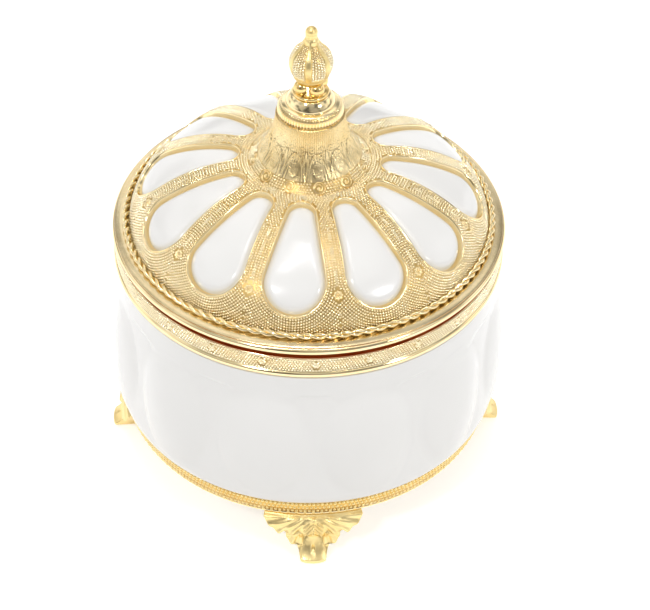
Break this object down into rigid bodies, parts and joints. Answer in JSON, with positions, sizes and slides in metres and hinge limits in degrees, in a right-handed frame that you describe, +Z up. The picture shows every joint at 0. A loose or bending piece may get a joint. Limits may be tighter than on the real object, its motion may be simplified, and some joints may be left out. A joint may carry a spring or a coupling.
{
  "type": "lidded jar",
  "caption": "Lidded table jar: lobed white porcelain bowl in a gilt base on palmette feet, gilt rim, and a lift-off domed lid with porcelain petals and a bud finial.",
  "frame": {"origin": "on the floor under the middle of the jar", "axes": "+Z up along the jar's axis, -Y towards the front foot, +X to the right foot"},
  "size_m": [0.1396, 0.1396, 0.17],
  "materials": {
    "gilt": "polished",
    "porcelain": "gloss",
    "steel": "satin",
    "fibre": "matte"
  },
  "bodies": {
    "jar": {"bowl": "porcelain", "rim_collar": "gilt", "base_ring": "gilt", "foot_front": "gilt", "foot_right": "gilt", "foot_back": "gilt", "foot_left": "gilt", "foot_screws": "steel"},
    "lid": {"lid_rim": "gilt", "lid_shell": "gilt", "rope_border": "gilt", "finial_cap": "gilt", "finial_ball_ring": "gilt", "finial_bud": "gilt", "petal_dome": "porcelain", "tie_rod": "steel", "lid_nut": "steel", "lid_washer": "steel", "fibre_washer": "fibre"}
  },
  "joints": [
    {"name": "lid_lift", "type": "slide", "parent": "jar", "child": "lid", "axis": [0, 0, 1], "range_m": [0, 0.1]}
  ]
}
